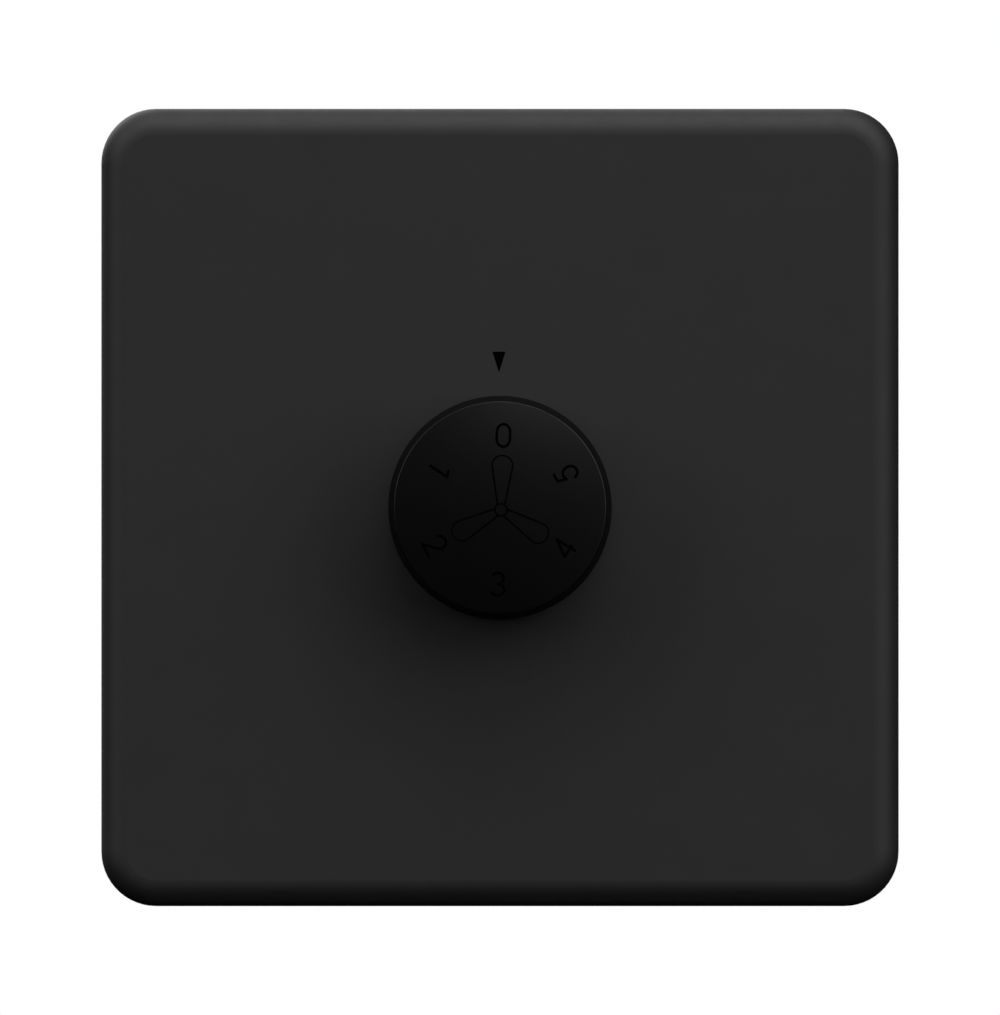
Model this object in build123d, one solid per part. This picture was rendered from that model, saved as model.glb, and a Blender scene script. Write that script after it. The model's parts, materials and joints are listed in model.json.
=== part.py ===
from build123d import *

import os
from math import cos, radians, sin, sqrt

# A rotary fan-speed control for a wall box: latched face plate, knob, step switch and regulator module.
# Modelled with x to the right, y up the wall and z out of the wall into the room; z = 0 is the wall.
# Every piece is stood upright when it is written. Sizes are in millimetres.

# Clearances
SLIP = 0.3
SNUG = 0.1
RUNNING = 0.03
PLAY = 0.05

# Face plate
PLATE_SIDE = 86.0
PLATE_CORNER_RADIUS = 6.0
PLATE_EDGE_RADIUS = 2.8
PLATE_PROJECTION = 9.5
PLATE_SKIN = 2.0
PLATE_WALL = 2.2
PLATE_DRAFT_DEG = 1.0
PLATE_RIB = 1.2
PLATE_INNER_RADIUS = 0.8
PRY_SLOT_WIDTH = 10.0
PRY_SLOT_HEIGHT = 1.4

# Mounting frame
FIXING_CENTRES = 60.3
FIXING_SLOT_WIDTH = 4.0
FIXING_SLOT_LENGTH = 7.0
FIXING_PAD_HEIGHT = 10.0
FRAME_RIM = 2.0
FRAME_RECESS = 2.0
FRAME_WEB = 2.0
FRAME_RIB = 1.2
LOCATING_RIB = 1.2
LOCATING_DEPTH = 1.6
LATCH_SPACING = 44.0
LATCH_WIDTH = 9.0
LATCH_REACH = 1.0
LATCH_HEIGHT = 2.4
LATCH_ROOT = 1.0
LATCH_SLIT = 1.2
LATCH_WINDOW = 3.0

# Knob
KNOB_DIAMETER = 24.0
KNOB_TAPER = 0.6
KNOB_HEIGHT = 13.0
KNOB_EDGE_RADIUS = 0.15
KNOB_DOME = 0.6
KNOB_LIFT = 0.7
KNOB_SKIRT = 1.6
KNOB_SKIN = 2.0
KNOB_BOSS_DIAMETER = 10.0
KNOB_RIBS = 6
KNOB_RIB = 1.0
KNOB_RIB_RECESS = 3.0
LEAF_THICKNESS = 0.4
LEAF_WIDTH = 3.6

# Spindle, bush and nut
SPINDLE_DIAMETER = 6.0
SPINDLE_FLAT = 1.5
DRIVE_FLATS = 4.6
SHOULDER_DIAMETER = 8.0
SHOULDER = 1.0
TAIL_DIAMETER = 3.0
CLIP_THICKNESS = 0.6
CLIP_DIAMETER = 9.0
CLIP_GROOVE_DEPTH = 0.6
CLIP_MOUTH_SHARE = 0.85
BUSH_DIAMETER = 9.0
BUSH_PROUD = 1.3
BUSH_FLANGE_DIAMETER = 13.0
BUSH_FLANGE_FLATS = 10.4
BUSH_FLANGE = 1.2
BUSH_RECESS = 0.5
WASHER_DIAMETER = 12.6
WASHER_THICKNESS = 0.5
WASHER_TEETH = 12
NUT_ACROSS_FLATS = 12.0
NUT_THICKNESS = 2.2

# Step switch
STEPS = 6
CASE_SIDE = 24.0
CASE_CORNER_RADIUS = 2.5
CASE_WALL = 1.7
CASE_FRONT = 1.5
CASE_PEG_DIAMETER = 2.0
SPRING_ROOM = 2.3
SPRING_THICKNESS = 0.35
SPRING_WIDTH = 2.0
SPRING_BUMP_RADIUS = 2.4
SPRING_BUMP_SINK = 1.5
SPRING_STANDOFF = 0.5
SPRING_GRIP = 1.6
LOBE_RADIUS = 0.6
LUG_THICKNESS = 1.2
LUG_DEG = 26.0
STOP_MARGIN_DEG = 1.0
ROTOR_THICKNESS = 2.0
ROTOR_CLEARANCE = 0.9
BRUSH_SPACE = 1.3
WIPER_THICKNESS = 0.3
WIPER_DISC_RADIUS = 4.4
WIPER_ARM_WIDTH = 2.4
WIPER_CURL = 0.5
WIPER_PEG_DIAMETER = 1.0
CONTACT_THICKNESS = 0.2
CONTACT_WIDTH = 1.9
CONTACT_SPAN_DEG = 22.0
CONTACT_PIN = 0.9
COMMON_RADIUS = 6.0
COMMON_WIDTH = 1.3
WAFER_THICKNESS = 1.6
RIVET_DIAMETER = 2.0
RIVET_HEAD_DIAMETER = 3.4
RIVET_HEAD = 0.7
RIVET_EDGE = 2.4

# Regulator board
BOARD_THICKNESS = 1.6
BOARD_HEIGHT = 46.0
BOARD_CORNER_RADIUS = 1.0
BOARD_STANDOFF = 1.0
PIN_PROUD = 1.2
CAPACITOR_LENGTH = 26.5
CAPACITOR_WIDTH = 9.0
CAPACITOR_HEIGHT = 13.0
CAPACITOR_EDGE_RADIUS = 0.6
CAPACITOR_LEAD_INSET = 2.0
PART_SPACING = 0.75
LEAD_DIAMETER = 0.8
BLEED_LENGTH = 6.5
BLEED_DIAMETER = 2.4
SURGE_LENGTH = 11.0
SURGE_DIAMETER = 4.4
RESISTOR_WAIST_SHARE = 0.84
RESISTOR_CAP_SHARE = 0.25
RESISTOR_ROUNDING_SHARE = 0.125
RESISTOR_LIFT = 0.5
LEAD_BEND_RADIUS = 1.0

# Terminals
TERMINAL_PITCH = 8.5
TERMINAL_DEPTH = 11.0
TERMINAL_HEIGHT = 14.5
TERMINAL_WALL = 1.0
TERMINAL_FRONT_WALL = 2.6
WIRE_ENTRY_DIAMETER = 4.4
WIRE_HOLE_DIAMETER = 4.0
CAGE_HEIGHT = 9.0
CAGE_SKIN = 1.2
CAGE_PIN = 1.2
CLAMP_SCREW_DIAMETER = 3.0
CLAMP_HEAD_DIAMETER = 4.4
CLAMP_HEAD = 2.0
DRIVER_SLOT = 0.7
DRIVER_SLOT_DEPTH = 0.9

# Rear housing
HOUSING_WALL = 1.8
HOUSING_CORNER_RADIUS = 2.5
HOUSING_EDGE_RADIUS = 1.0
HOUSING_COLUMN = 5.0
EAR_SPACING = 34.0
EAR_WIDTH = 7.0
EAR_THICKNESS = 2.4
VENT_WIDTH = 1.8
VENT_PITCH = 4.0
REAR_VENTS = 5
REAR_VENT_LENGTH = 22.0
TOP_VENTS = 7
TOP_VENT_LENGTH = 12.0
SCREW_DIAMETER = 2.9
SCREW_HEAD_DIAMETER = 5.4
SCREW_HEAD = 1.9
SCREW_TIP_DIAMETER = 1.0

# Heights out of the wall, from the face of the plate back to the housing's rear
SKIN_INNER = PLATE_PROJECTION - PLATE_SKIN
RIB_REAR = SKIN_INNER - PLATE_RIB
FRAME_TOP = RIB_REAR - SLIP
WEB_FRONT = FRAME_RECESS + FRAME_WEB
NUT_REAR = WEB_FRONT + WASHER_THICKNESS
BUSH_FRONT = NUT_REAR + NUT_THICKNESS + BUSH_PROUD
CLIP_REAR = BUSH_FRONT + PLAY
CLIP_FRONT = CLIP_REAR + CLIP_THICKNESS
KNOB_REAR = PLATE_PROJECTION + KNOB_LIFT
KNOB_FRONT = KNOB_REAR + KNOB_HEIGHT
KNOB_CEILING = KNOB_FRONT - KNOB_SKIN
BOSS_REAR = max(KNOB_REAR, CLIP_FRONT + SLIP)
SPINDLE_FRONT = KNOB_CEILING - SLIP
CASE_INNER = FRAME_RECESS - CASE_FRONT
FLANGE_FRONT = CASE_INNER + BUSH_RECESS
FLANGE_REAR = FLANGE_FRONT - BUSH_FLANGE
SHOULDER_FRONT = FLANGE_REAR - PLAY
WHEEL_FRONT = SHOULDER_FRONT - SHOULDER
LUG_REAR = WHEEL_FRONT - LUG_THICKNESS
SPRING_FRONT = LUG_REAR - SLIP
SPRING_REAR = SPRING_FRONT - SPRING_WIDTH
WHEEL_REAR = SPRING_REAR - SLIP
ROTOR_REAR = WHEEL_REAR - ROTOR_THICKNESS
WAFER_FRONT = ROTOR_REAR - BRUSH_SPACE
WAFER_REAR = WAFER_FRONT - WAFER_THICKNESS
LOCATING_REAR = FRAME_RECESS - LOCATING_DEPTH
BOARD_FRONT = min(WAFER_REAR - RIVET_HEAD - BOARD_STANDOFF, LOCATING_REAR - SLIP - CAPACITOR_HEIGHT)
BOARD_REAR = BOARD_FRONT - BOARD_THICKNESS
HOUSING_REAR = BOARD_REAR - TERMINAL_HEIGHT
HOUSING_FLOOR = HOUSING_REAR + HOUSING_WALL

# Sizes that follow from what each piece fits
CAVITY_SIDE = PLATE_SIDE - 2 * PLATE_WALL
CAVITY_CORNER = PLATE_CORNER_RADIUS - PLATE_WALL
FRAME_SIDE = CAVITY_SIDE - 2 * SLIP
FRAME_CORNER = CAVITY_CORNER - SLIP
NUT_HOLE_RADIUS = NUT_ACROSS_FLATS / sqrt(3) + SLIP
LATCH_FRONT = FRAME_TOP - SLIP
LATCH_REAR = LATCH_FRONT - LATCH_HEIGHT
SPINDLE_RADIUS = SPINDLE_DIAMETER / 2
BUSH_RADIUS = BUSH_DIAMETER / 2
GROOVE_RADIUS = SPINDLE_RADIUS - CLIP_GROOVE_DEPTH
CASE_CAVITY = CASE_SIDE / 2 - CASE_WALL
CASE_PEG_Y = (CASE_CAVITY + BUSH_FLANGE_DIAMETER / 2) / 2
WHEEL_RADIUS = CASE_CAVITY - SPRING_ROOM
SPRING_Y = WHEEL_RADIUS + SPRING_STANDOFF
SPRING_BUMP_Y = SPRING_Y + SPRING_BUMP_SINK
SPRING_REACH = sqrt(CASE_CAVITY**2 - SPRING_Y**2) + SPRING_GRIP
STEP_DEG = 360 / STEPS
STOP_DEG = STEP_DEG - LUG_DEG - 2 * STOP_MARGIN_DEG
STATION_RADIUS = CASE_CAVITY - CONTACT_WIDTH
RIVET_OFFSET = CASE_SIDE / 2 - RIVET_EDGE
BOARD_WIDTH = CASE_SIDE + 2 * (CAPACITOR_WIDTH + 2 * PART_SPACING)
HOUSING_INNER_WIDTH = BOARD_WIDTH + 2 * SLIP
HOUSING_INNER_HEIGHT = BOARD_HEIGHT + 2 * SLIP
HOUSING_WIDTH = HOUSING_INNER_WIDTH + 2 * HOUSING_WALL
HOUSING_HEIGHT = HOUSING_INNER_HEIGHT + 2 * HOUSING_WALL
EAR_Y = (HOUSING_HEIGHT + EAR_WIDTH) / 2
CAPACITOR_X = CASE_SIDE / 2 + PART_SPACING + CAPACITOR_WIDTH / 2
CAPACITOR_LEAD_Y = CAPACITOR_LENGTH / 2 - CAPACITOR_LEAD_INSET
BLEED_PITCH = BLEED_LENGTH + 4 * LEAD_BEND_RADIUS
SURGE_PITCH = SURGE_LENGTH + 4 * LEAD_BEND_RADIUS
BLEED_X = BLEED_PITCH / 2 + PART_SPACING + LEAD_DIAMETER
SURGE_TOP_Y = BOARD_HEIGHT / 2 - PART_SPACING - SURGE_DIAMETER / 2
SURGE_LOW_Y = SURGE_TOP_Y - SURGE_DIAMETER - PART_SPACING
BLEED_Y = SURGE_LOW_Y - SURGE_DIAMETER / 2 - PART_SPACING - BLEED_DIAMETER / 2
TERMINAL_WIDTH = 2 * TERMINAL_PITCH + TERMINAL_WALL
TERMINAL_Y = (TERMINAL_DEPTH - HOUSING_HEIGHT) / 2
CAGE_WIDTH = TERMINAL_PITCH - TERMINAL_WALL - 2 * SNUG
CAGE_DEPTH = TERMINAL_DEPTH - TERMINAL_FRONT_WALL - TERMINAL_WALL - 2 * SNUG
CAGE_Y = TERMINAL_Y + (TERMINAL_FRONT_WALL - TERMINAL_WALL) / 2
CAGE_FRONT = BOARD_REAR - CAGE_SKIN
CAGE_REAR = CAGE_FRONT - CAGE_HEIGHT
WIRE_Z = CAGE_FRONT - CAGE_SKIN - WIRE_HOLE_DIAMETER / 2
CLAMP_TIP = WIRE_Z - WIRE_HOLE_DIAMETER / 2 - PLAY
CLAMP_HEAD_FRONT = CAGE_REAR - SLIP

POLES = (-TERMINAL_PITCH / 2, TERMINAL_PITCH / 2)
LATCHES = (-LATCH_SPACING / 2, LATCH_SPACING / 2)
RIVETS = ((RIVET_OFFSET, RIVET_OFFSET), (-RIVET_OFFSET, -RIVET_OFFSET))
BLEEDS = ((-BLEED_X, BLEED_Y), (BLEED_X, BLEED_Y))
SURGES = ((0, SURGE_LOW_Y), (0, SURGE_TOP_Y))


def prism(outline, low, high):
    """The outline as a straight solid between two heights."""
    return Pos(0, 0, low) * extrude(outline, high - low)


def turned(*profile):
    """A solid turned about the spindle's axis from (radius, height) corners."""
    return revolve(Plane.XZ * make_face(Polyline(*profile, close=True)), Axis.Z)


def rounded_square(side, radius):
    return RectangleRounded(side, side, radius)


def polar(radius, angle_deg):
    return (radius * cos(radians(angle_deg)), radius * sin(radians(angle_deg)))


def sector(inner, outer, middle_deg, span_deg):
    """A piece of a ring about the spindle's axis."""
    far = 2 * outer
    first = polar(far, middle_deg - span_deg / 2)
    last = polar(far, middle_deg + span_deg / 2)
    return (Circle(outer) - Circle(inner)) & make_face(Polyline((0, 0), first, last, close=True))


def two_flats(radius, across):
    """A circle with a flat above and below."""
    return Circle(radius) & Rectangle(2 * radius, across)


def one_flat(radius, flat):
    """A circle cut off straight at a distance below its centre."""
    return Circle(radius) & Pos(0, radius / 2) * Rectangle(2 * radius, radius + 2 * flat)


def ear_places():
    return GridLocations(EAR_SPACING, 2 * EAR_Y, 2, 2)


def station_angle(step):
    """Where a step's contact lies: clockwise from the top, as seen from the room."""
    return 90 - step * STEP_DEG


def pin_places():
    """Centres of the switch's pins: the common one, then steps 1 to 5."""
    places = [polar(COMMON_RADIUS, station_angle(0))]
    for step in range(1, STEPS):
        places.append(polar(STATION_RADIUS, station_angle(step)))
    return places


def lead_places():
    """Centres of every component lead on the board."""
    places = []
    for x in (-CAPACITOR_X, CAPACITOR_X):
        places += [(x, -CAPACITOR_LEAD_Y), (x, CAPACITOR_LEAD_Y)]
    for x, y in BLEEDS:
        places += [(x - BLEED_PITCH / 2, y), (x + BLEED_PITCH / 2, y)]
    for x, y in SURGES:
        places += [(x - SURGE_PITCH / 2, y), (x + SURGE_PITCH / 2, y)]
    return places


def latch_profile():
    """Side view of a latch nose: square towards the wall, sloped towards the room."""
    nose = Polyline(
        (0, LATCH_REAR),
        (LATCH_REACH, LATCH_REAR),
        (LATCH_REACH, LATCH_REAR + LATCH_HEIGHT / 3),
        (0, LATCH_FRONT),
        close=True,
    )
    return Plane.YZ * make_face(nose)


def on_both_rims(shape, x):
    """The shape, made at the top rim, repeated at the bottom rim."""
    top = Pos(x, 0, 0) * shape
    return top + mirror(top, Plane.XZ)


def make_front_plate():
    outline = rounded_square(PLATE_SIDE, PLATE_CORNER_RADIUS)
    blank = extrude(outline, PLATE_PROJECTION - SLIP, taper=PLATE_DRAFT_DEG)
    plate = Pos(0, 0, SLIP) * blank
    plate = fillet(plate.faces().sort_by(Axis.Z)[-1].edges(), PLATE_EDGE_RADIUS)
    floor = rounded_square(CAVITY_SIDE, CAVITY_CORNER)
    cavity = prism(floor, SLIP, SKIN_INNER)
    plate -= fillet(cavity.faces().sort_by(Axis.Z)[-1].edges(), PLATE_INNER_RADIUS)
    ribs = Circle(NUT_HOLE_RADIUS + PLATE_RIB)
    for angle in (45, -45):
        ribs += Rot(0, 0, angle) * Rectangle(2 * CAVITY_SIDE, PLATE_RIB)
    plate += prism(ribs & floor, RIB_REAR, SKIN_INNER)
    plate -= prism(Circle(NUT_HOLE_RADIUS), 0, PLATE_PROJECTION)
    pocket_depth = LATCH_REACH - SLIP + SNUG
    pocket = Pos(0, CAVITY_SIDE / 2 + pocket_depth / 2) * Rectangle(LATCH_WIDTH + 2 * SLIP, pocket_depth)
    for x in LATCHES:
        plate -= on_both_rims(prism(pocket, LATCH_REAR - SLIP, LATCH_FRONT + SNUG), x)
    pry_slot = Pos(0, -PLATE_SIDE / 2) * Rectangle(PRY_SLOT_WIDTH, 2 * PLATE_WALL)
    return plate - prism(pry_slot, 0, SLIP + PRY_SLOT_HEIGHT)


def make_latch():
    """One spring tongue's slits and window, and the nose it carries, on the top rim."""
    edge = FRAME_SIDE / 2
    slits = Rectangle(LATCH_WIDTH + 2 * LATCH_SLIT, 2 * FRAME_RIM) - Rectangle(LATCH_WIDTH, 2 * FRAME_RIM)
    window_y = edge - FRAME_RIM - LATCH_WINDOW / 2
    window = Pos(0, window_y) * Rectangle(LATCH_WIDTH + 2 * LATCH_SLIT, LATCH_WINDOW)
    cut = prism(Pos(0, edge) * slits, LATCH_ROOT, FRAME_TOP) + prism(window, 0, WEB_FRONT)
    nose = Pos(0, edge, 0) * extrude(latch_profile(), LATCH_WIDTH / 2, both=True)
    return cut, nose


def make_fixing_pads():
    """Plan of the two pads that bring the fixing slots back to the wall, joined to the rim."""
    inner = HOUSING_WIDTH / 2 + SLIP
    outer = FRAME_SIDE / 2 - FRAME_RIM / 2
    pad = Rectangle(outer - inner, FIXING_PAD_HEIGHT)
    return Sketch() + GridLocations(outer + inner, 0, 2, 1) * pad


def make_frame_ribs():
    """Plan of the stiffening ribs behind the web, from the housing out to the rim."""
    ribs = Sketch() + Rectangle(FRAME_RIB, FRAME_SIDE - FRAME_RIM)
    for angle in (45, -45):
        ribs += Rot(0, 0, angle) * Rectangle(2 * FRAME_SIDE, FRAME_RIB)
    ribs &= rounded_square(FRAME_SIDE - FRAME_RIM, FRAME_CORNER - FRAME_RIM / 2)
    housing = RectangleRounded(HOUSING_WIDTH + 2 * SLIP, HOUSING_HEIGHT + 2 * SLIP, HOUSING_CORNER_RADIUS)
    return ribs - housing


def make_mounting_frame():
    outline = rounded_square(FRAME_SIDE, FRAME_CORNER)
    opening = rounded_square(FRAME_SIDE - 2 * FRAME_RIM, FRAME_CORNER - FRAME_RIM / 2)
    frame = prism(outline - opening, 0, FRAME_TOP) + prism(outline, FRAME_RECESS, WEB_FRONT)
    locating = RectangleRounded(BOARD_WIDTH, BOARD_HEIGHT, HOUSING_CORNER_RADIUS)
    locating -= Rectangle(BOARD_WIDTH - 2 * LOCATING_RIB, BOARD_HEIGHT - 2 * LOCATING_RIB)
    frame += prism(locating, LOCATING_REAR, FRAME_RECESS)
    frame += prism(make_fixing_pads(), 0, FRAME_RECESS)
    frame += prism(make_frame_ribs(), SLIP, FRAME_RECESS)
    frame += prism(Sketch() + ear_places() * Circle(SCREW_DIAMETER), WEB_FRONT, FRAME_TOP)
    pilots = Sketch() + ear_places() * Circle(SCREW_DIAMETER / 2 + PLAY)
    frame -= prism(pilots, FRAME_RECESS, FRAME_TOP - FRAME_WEB / 2)
    slots = GridLocations(FIXING_CENTRES, 0, 2, 1) * SlotOverall(FIXING_SLOT_LENGTH, FIXING_SLOT_WIDTH)
    holes = Sketch() + slots + Circle(BUSH_RADIUS + SNUG)
    holes += Pos(0, CASE_PEG_Y) * Circle(CASE_PEG_DIAMETER / 2 + SNUG)
    frame -= prism(holes, 0, WEB_FRONT)
    cut, nose = make_latch()
    for x in LATCHES:
        frame -= on_both_rims(cut, x)
        frame += on_both_rims(nose, x)
    return frame


def knob_profile():
    """Half of the knob's outside: tapered side and shallow dome."""
    rear_radius = KNOB_DIAMETER / 2
    front_radius = rear_radius - KNOB_TAPER
    dome_radius = (front_radius**2 + KNOB_DOME**2) / (2 * KNOB_DOME)
    middle_radius = front_radius / 2
    middle_height = KNOB_FRONT + KNOB_DOME - dome_radius + sqrt(dome_radius**2 - middle_radius**2)
    front_edge = (front_radius, KNOB_FRONT)
    centre = (0, KNOB_FRONT + KNOB_DOME)
    outside = Polyline(centre, (0, KNOB_REAR), (rear_radius, KNOB_REAR), front_edge)
    dome = ThreePointArc(front_edge, (middle_radius, middle_height), centre)
    return make_face([outside, dome])


def make_knob():
    knob = revolve(Plane.XZ * knob_profile(), Axis.Z)
    rim = knob.edges().filter_by(lambda edge: edge.is_closed).sort_by(Axis.Z)[-1]
    knob = fillet(rim, KNOB_EDGE_RADIUS)
    skirt_inner = KNOB_DIAMETER / 2 - KNOB_TAPER - KNOB_SKIRT
    boss = Circle(KNOB_BOSS_DIAMETER / 2)
    hollow = Circle(skirt_inner) - boss
    knob -= prism(hollow, KNOB_REAR, KNOB_CEILING)
    if BOSS_REAR > KNOB_REAR:
        knob -= prism(boss, KNOB_REAR, BOSS_REAR)
    rib = Pos(skirt_inner / 2, 0) * Rectangle(skirt_inner, KNOB_RIB)
    ribs = Sketch() + PolarLocations(0, KNOB_RIBS) * rib
    knob += prism(ribs & hollow, KNOB_REAR + KNOB_RIB_RECESS, KNOB_CEILING)
    bore = one_flat(SPINDLE_RADIUS + PLAY, SPINDLE_FLAT + LEAF_THICKNESS + 2 * PLAY)
    return knob - prism(bore, BOSS_REAR, KNOB_CEILING)


def make_knob_spring_clip():
    leaf_y = -(SPINDLE_FLAT + PLAY + LEAF_THICKNESS / 2)
    leaf = Pos(0, leaf_y) * Rectangle(LEAF_WIDTH, LEAF_THICKNESS)
    return prism(leaf, BOSS_REAR + SLIP, SPINDLE_FRONT - SLIP)


def make_spindle():
    tail = TAIL_DIAMETER / 2
    shoulder = SHOULDER_DIAMETER / 2
    spindle = turned(
        (0, WAFER_REAR - SLIP),
        (tail, WAFER_REAR - SLIP),
        (tail, ROTOR_REAR),
        (SPINDLE_RADIUS, ROTOR_REAR),
        (SPINDLE_RADIUS, WHEEL_FRONT),
        (shoulder, WHEEL_FRONT),
        (shoulder, SHOULDER_FRONT),
        (SPINDLE_RADIUS, SHOULDER_FRONT),
        (SPINDLE_RADIUS, CLIP_REAR),
        (GROOVE_RADIUS, CLIP_REAR),
        (GROOVE_RADIUS, CLIP_FRONT),
        (SPINDLE_RADIUS, CLIP_FRONT),
        (SPINDLE_RADIUS, SPINDLE_FRONT - SLIP),
        (SPINDLE_RADIUS - SLIP, SPINDLE_FRONT),
        (0, SPINDLE_FRONT),
    )
    blank = Circle(shoulder)
    spindle -= prism(blank - one_flat(SPINDLE_RADIUS, SPINDLE_FLAT), BOSS_REAR, SPINDLE_FRONT)
    return spindle - prism(blank - two_flats(SPINDLE_RADIUS, DRIVE_FLATS), ROTOR_REAR, WHEEL_FRONT)


def make_spindle_clip():
    ring = Circle(CLIP_DIAMETER / 2) - Circle(GROOVE_RADIUS + RUNNING)
    mouth_width = CLIP_MOUTH_SHARE * 2 * GROOVE_RADIUS
    mouth = Pos(0, -CLIP_DIAMETER / 2) * Rectangle(mouth_width, CLIP_DIAMETER)
    return prism(ring - mouth, CLIP_REAR, CLIP_FRONT)


def make_spindle_bush():
    flange = two_flats(BUSH_FLANGE_DIAMETER / 2, BUSH_FLANGE_FLATS)
    bush = prism(flange, FLANGE_REAR, FLANGE_FRONT) + prism(Circle(BUSH_RADIUS), FLANGE_FRONT, BUSH_FRONT)
    return bush - prism(Circle(SPINDLE_RADIUS + RUNNING), FLANGE_REAR, BUSH_FRONT)


def make_bush_washer():
    outer = WASHER_DIAMETER / 2
    tooth_space = Rectangle((outer - BUSH_RADIUS) / 2, outer / WASHER_TEETH * 2)
    ring = Circle(outer) - Circle(BUSH_RADIUS + SNUG)
    ring -= Sketch() + PolarLocations(outer, WASHER_TEETH) * tooth_space
    return prism(ring, WEB_FRONT, NUT_REAR)


def make_bush_nut():
    hexagon = RegularPolygon(NUT_ACROSS_FLATS / 2, 6, major_radius=False)
    return prism(hexagon - Circle(BUSH_RADIUS + PLAY), NUT_REAR, NUT_REAR + NUT_THICKNESS)


def rivet_sketch(radius):
    return Sketch() + [Pos(x, y) * Circle(radius) for x, y in RIVETS]


def make_switch_case():
    case = prism(rounded_square(CASE_SIDE, CASE_CORNER_RADIUS), WAFER_FRONT, FRAME_RECESS)
    case -= prism(Circle(CASE_CAVITY), WAFER_FRONT, CASE_INNER)
    stop = sector(WHEEL_RADIUS + SLIP, CASE_CAVITY + SLIP, -90, STOP_DEG)
    case += prism(stop, LUG_REAR, CASE_INNER)
    flange = two_flats(BUSH_FLANGE_DIAMETER / 2 + SNUG, BUSH_FLANGE_FLATS + 2 * SNUG)
    case -= prism(flange, CASE_INNER, FLANGE_FRONT)
    case -= prism(Circle(BUSH_RADIUS + SNUG), FLANGE_FRONT, FRAME_RECESS)
    spring_slot = Rectangle(2 * (SPRING_REACH + SNUG), SPRING_THICKNESS + 2 * SNUG)
    spring_slot = Pos(0, -(SPRING_Y + SPRING_THICKNESS / 2)) * spring_slot
    case -= prism(spring_slot, WAFER_FRONT, SPRING_FRONT)
    case -= prism(rivet_sketch(RIVET_DIAMETER / 2 + PLAY), WAFER_FRONT, FRAME_RECESS)
    head_recess = rivet_sketch(RIVET_HEAD_DIAMETER / 2 + PLAY)
    case -= prism(head_recess, FRAME_RECESS - RIVET_HEAD - PLAY, FRAME_RECESS)
    peg = Pos(0, CASE_PEG_Y) * Circle(CASE_PEG_DIAMETER / 2)
    return case + prism(peg, FRAME_RECESS, WEB_FRONT - SLIP)


def make_detent_wheel():
    notches = PolarLocations(SPRING_BUMP_Y, STEPS, start_angle=-90) * Circle(SPRING_BUMP_RADIUS + SNUG)
    bore = two_flats(SPINDLE_RADIUS + PLAY, DRIVE_FLATS + 2 * PLAY)
    lobes = Circle(WHEEL_RADIUS) - (Sketch() + notches)
    lobes = fillet(lobes.vertices(), LOBE_RADIUS)
    lug_middle = -90 - (STOP_DEG + LUG_DEG) / 2 - STOP_MARGIN_DEG
    hub_radius = SPRING_BUMP_Y - SPRING_BUMP_RADIUS - SLIP
    lug = Circle(hub_radius) + sector(hub_radius / 2, CASE_CAVITY - SLIP, lug_middle, LUG_DEG)
    return prism(lug - bore, LUG_REAR, WHEEL_FRONT) + prism(lobes - bore, WHEEL_REAR, LUG_REAR)


def make_detent_spring():
    rear_y = -SPRING_Y - SPRING_THICKNESS
    bump_centre = Pos(0, -SPRING_BUMP_Y)
    bump = bump_centre * Circle(SPRING_BUMP_RADIUS)
    arch = bump - bump_centre * Circle(SPRING_BUMP_RADIUS - SPRING_THICKNESS)
    arch &= Pos(0, rear_y + SPRING_BUMP_RADIUS) * Rectangle(2 * SPRING_REACH, 2 * SPRING_BUMP_RADIUS)
    strip = Pos(0, rear_y + SPRING_THICKNESS / 2) * Rectangle(2 * SPRING_REACH, SPRING_THICKNESS)
    return prism(strip - bump + arch, SPRING_REAR, SPRING_FRONT)


def wiper_pegs(radius):
    reach = (SPINDLE_RADIUS + WIPER_DISC_RADIUS) / 2
    return Sketch() + GridLocations(2 * reach, 0, 2, 1) * Circle(radius)


def make_contact_rotor():
    bore = two_flats(SPINDLE_RADIUS + PLAY, DRIVE_FLATS + 2 * PLAY)
    rotor = prism(Circle(CASE_CAVITY - ROTOR_CLEARANCE) - bore, ROTOR_REAR, WHEEL_REAR)
    peg = wiper_pegs(WIPER_PEG_DIAMETER / 2)
    return rotor + prism(peg, ROTOR_REAR - 2 * WIPER_THICKNESS, ROTOR_REAR)


def make_wiper_blade():
    """Bent strip from the common ring to the contact under its long arm, at 12 o'clock when off."""
    touch = WAFER_FRONT + CONTACT_THICKNESS + SNUG
    flat = ROTOR_REAR - WIPER_THICKNESS
    lower = [
        (-COMMON_RADIUS - WIPER_CURL, touch + WIPER_CURL),
        (-COMMON_RADIUS, touch),
        (-WIPER_DISC_RADIUS, flat),
        (WIPER_DISC_RADIUS, flat),
        (STATION_RADIUS, touch),
        (STATION_RADIUS + WIPER_CURL, touch + WIPER_CURL),
    ]
    upper = [(reach, height + WIPER_THICKNESS) for reach, height in reversed(lower)]
    side_view = Plane.YZ * make_face(Polyline(*lower, *upper, close=True))
    strip = extrude(side_view, WIPER_DISC_RADIUS, both=True)
    plan = Circle(WIPER_DISC_RADIUS) + Rectangle(WIPER_ARM_WIDTH, 4 * STATION_RADIUS)
    plan -= Circle(TAIL_DIAMETER / 2 + SLIP)
    plan -= wiper_pegs(WIPER_PEG_DIAMETER / 2 + PLAY)
    return strip & prism(plan, WAFER_FRONT, ROTOR_REAR)


def make_contact(pad, place):
    """A contact pad on the wafer with its pin down through the board."""
    pin = Pos(*place) * Rectangle(CONTACT_PIN, CONTACT_PIN)
    contact = prism(pad, WAFER_FRONT, WAFER_FRONT + CONTACT_THICKNESS)
    return contact + prism(pin, BOARD_REAR - PIN_PROUD, WAFER_FRONT)


def make_common_contact():
    ring = Circle(COMMON_RADIUS + COMMON_WIDTH / 2) - Circle(COMMON_RADIUS - COMMON_WIDTH / 2)
    return make_contact(ring, pin_places()[0])


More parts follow.
